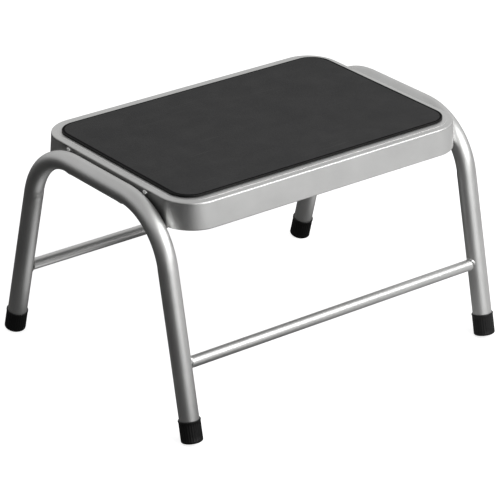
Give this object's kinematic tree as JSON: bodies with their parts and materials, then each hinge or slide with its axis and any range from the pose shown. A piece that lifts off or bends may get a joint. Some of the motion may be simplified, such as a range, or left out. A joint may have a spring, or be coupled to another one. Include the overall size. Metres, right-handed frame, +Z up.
{
  "type": "step stool",
  "caption": "Fixed one-step stool: pressed steel tread with a black rubber mat, welded between two bent tube leg frames tied by cross bars, on rubber feet.",
  "frame": {"origin": "on the floor, under the middle of the tread", "axes": "+X along the length of the tread, +Z up, front at -Y"},
  "size_m": [0.4444, 0.3564, 0.2591],
  "materials": {
    "silver_coat": "satin silver powder coat on steel",
    "mat_rubber": "matte, fine moulded texture",
    "foot_rubber": "semi-matte, ribbed"
  },
  "bodies": {
    "root": {"tread_tray": "silver_coat", "leg_frame_left": "silver_coat", "leg_frame_right": "silver_coat", "cross_bar_front": "silver_coat", "cross_bar_rear": "silver_coat", "weld_bar_front_left_upper": "silver_coat", "weld_bar_front_left_lower": "silver_coat", "weld_bar_front_right_upper": "silver_coat", "weld_bar_front_right_lower": "silver_coat", "weld_bar_rear_left_upper": "silver_coat", "weld_bar_rear_left_lower": "silver_coat", "weld_bar_rear_right_upper": "silver_coat", "weld_bar_rear_right_lower": "silver_coat", "weld_tray_left_front": "silver_coat", "weld_tray_left_rear": "silver_coat", "weld_tray_left_under": "silver_coat", "weld_tray_right_front": "silver_coat", "weld_tray_right_rear": "silver_coat", "weld_tray_right_under": "silver_coat", "anti_slip_mat": "mat_rubber", "foot_front_left": "foot_rubber", "foot_front_right": "foot_rubber", "foot_rear_left": "foot_rubber", "foot_rear_right": "foot_rubber"}
  },
  "joints": []
}
